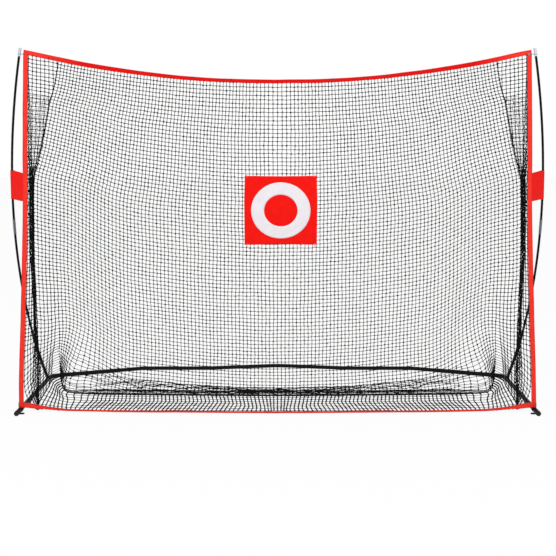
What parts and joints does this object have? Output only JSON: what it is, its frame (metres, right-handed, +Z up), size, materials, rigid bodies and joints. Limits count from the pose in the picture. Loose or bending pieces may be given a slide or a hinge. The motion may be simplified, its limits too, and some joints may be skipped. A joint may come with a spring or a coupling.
{
  "type": "golf practice net",
  "caption": "Large freestanding golf practice net: a red-edged bag of black netting on two bowed poles and a tubular ground frame, with a square ring target.",
  "frame": {"origin": "on the ground, in the middle of the footprint", "axes": "+X to the player's right along the mouth, +Y away from the player, +Z up"},
  "size_m": [3.2296, 1.1533, 2.1457],
  "materials": {
    "powder_coat": "satin",
    "fibreglass": "gloss",
    "cap_plastic": "matte",
    "ferrule_steel": "satin",
    "bright_steel": "satin",
    "spring_steel": "satin",
    "red_webbing": "matte",
    "red_fabric": "matte",
    "black_webbing": "matte",
    "netting": "matte",
    "target_red": "matte",
    "target_white": "matte",
    "tie_cord": "matte"
  },
  "bodies": {
    "frame": {"back_net": "netting", "bottom_border": "red_webbing", "button_spring_leg_left": "spring_steel", "button_spring_leg_right": "spring_steel", "button_spring_middle": "spring_steel", "button_spring_rail_left": "spring_steel", "button_spring_rail_right": "spring_steel", "corner_elbow_left": "powder_coat", "corner_elbow_right": "powder_coat", "corner_grommet_left": "bright_steel", "corner_grommet_right": "bright_steel", "corner_ring_left": "bright_steel", "corner_ring_right": "bright_steel", "floor_net": "netting", "floor_seam": "black_webbing", "foot_cap_left": "cap_plastic", "foot_cap_right": "cap_plastic", "foot_loop_left": "black_webbing", "foot_loop_right": "black_webbing", "left_border": "red_webbing", "leg_left": "powder_coat", "leg_right": "powder_coat", "lower_pole_left": "fibreglass", "lower_pole_right": "fibreglass", "mid_ferrule_left": "ferrule_steel", "mid_ferrule_right": "ferrule_steel", "pole_socket_left": "powder_coat", "pole_socket_right": "powder_coat", "pole_tab_left": "red_fabric", "pole_tab_right": "red_fabric", "pole_tip_left": "bright_steel", "pole_tip_right": "bright_steel", "rear_rail_left": "powder_coat", "rear_rail_right": "powder_coat", "rear_strap_left": "black_webbing", "rear_strap_right": "black_webbing", "right_border": "red_webbing", "side_net_left": "netting", "side_net_right": "netting", "side_seam_left": "black_webbing", "side_seam_right": "black_webbing", "stake_lug_left": "powder_coat", "stake_lug_right": "powder_coat", "top_border": "red_webbing", "upper_pole_left": "fibreglass", "upper_pole_right": "fibreglass"},
    "target": {"target_panel": "target_red", "target_ring": "target_white", "target_ties": "tie_cord"},
    "snap_button_leg_left": {"snap_button_leg_left": "bright_steel"},
    "snap_button_leg_right": {"snap_button_leg_right": "bright_steel"},
    "snap_button_middle": {"snap_button_middle": "bright_steel"},
    "snap_button_rail_left": {"snap_button_rail_left": "bright_steel"},
    "snap_button_rail_right": {"snap_button_rail_right": "bright_steel"}
  },
  "joints": [
    {"name": "snap_button_leg_left_press", "type": "slide", "parent": "frame", "child": "snap_button_leg_left", "axis": [0, 0, -1], "range_m": [0, 0.004], "stiffness_N_per_m": 2500, "springref_m": -0.002, "deforming": ["button_spring_leg_left"]},
    {"name": "snap_button_leg_right_press", "type": "slide", "parent": "frame", "child": "snap_button_leg_right", "axis": [0, 0, -1], "range_m": [0, 0.004], "stiffness_N_per_m": 2500, "springref_m": -0.002, "deforming": ["button_spring_leg_right"]},
    {"name": "snap_button_middle_press", "type": "slide", "parent": "frame", "child": "snap_button_middle", "axis": [0, 0, -1], "range_m": [0, 0.004], "stiffness_N_per_m": 2500, "springref_m": -0.002, "deforming": ["button_spring_middle"]},
    {"name": "snap_button_rail_left_press", "type": "slide", "parent": "frame", "child": "snap_button_rail_left", "axis": [0, 0, -1], "range_m": [0, 0.004], "stiffness_N_per_m": 2500, "springref_m": -0.002, "deforming": ["button_spring_rail_left"]},
    {"name": "snap_button_rail_right_press", "type": "slide", "parent": "frame", "child": "snap_button_rail_right", "axis": [0, 0, -1], "range_m": [0, 0.004], "stiffness_N_per_m": 2500, "springref_m": -0.002, "deforming": ["button_spring_rail_right"]},
    {"name": "target_lift_off", "type": "slide", "parent": "frame", "child": "target", "axis": [0, -1, 0], "range_m": [0, 0.3]}
  ]
}
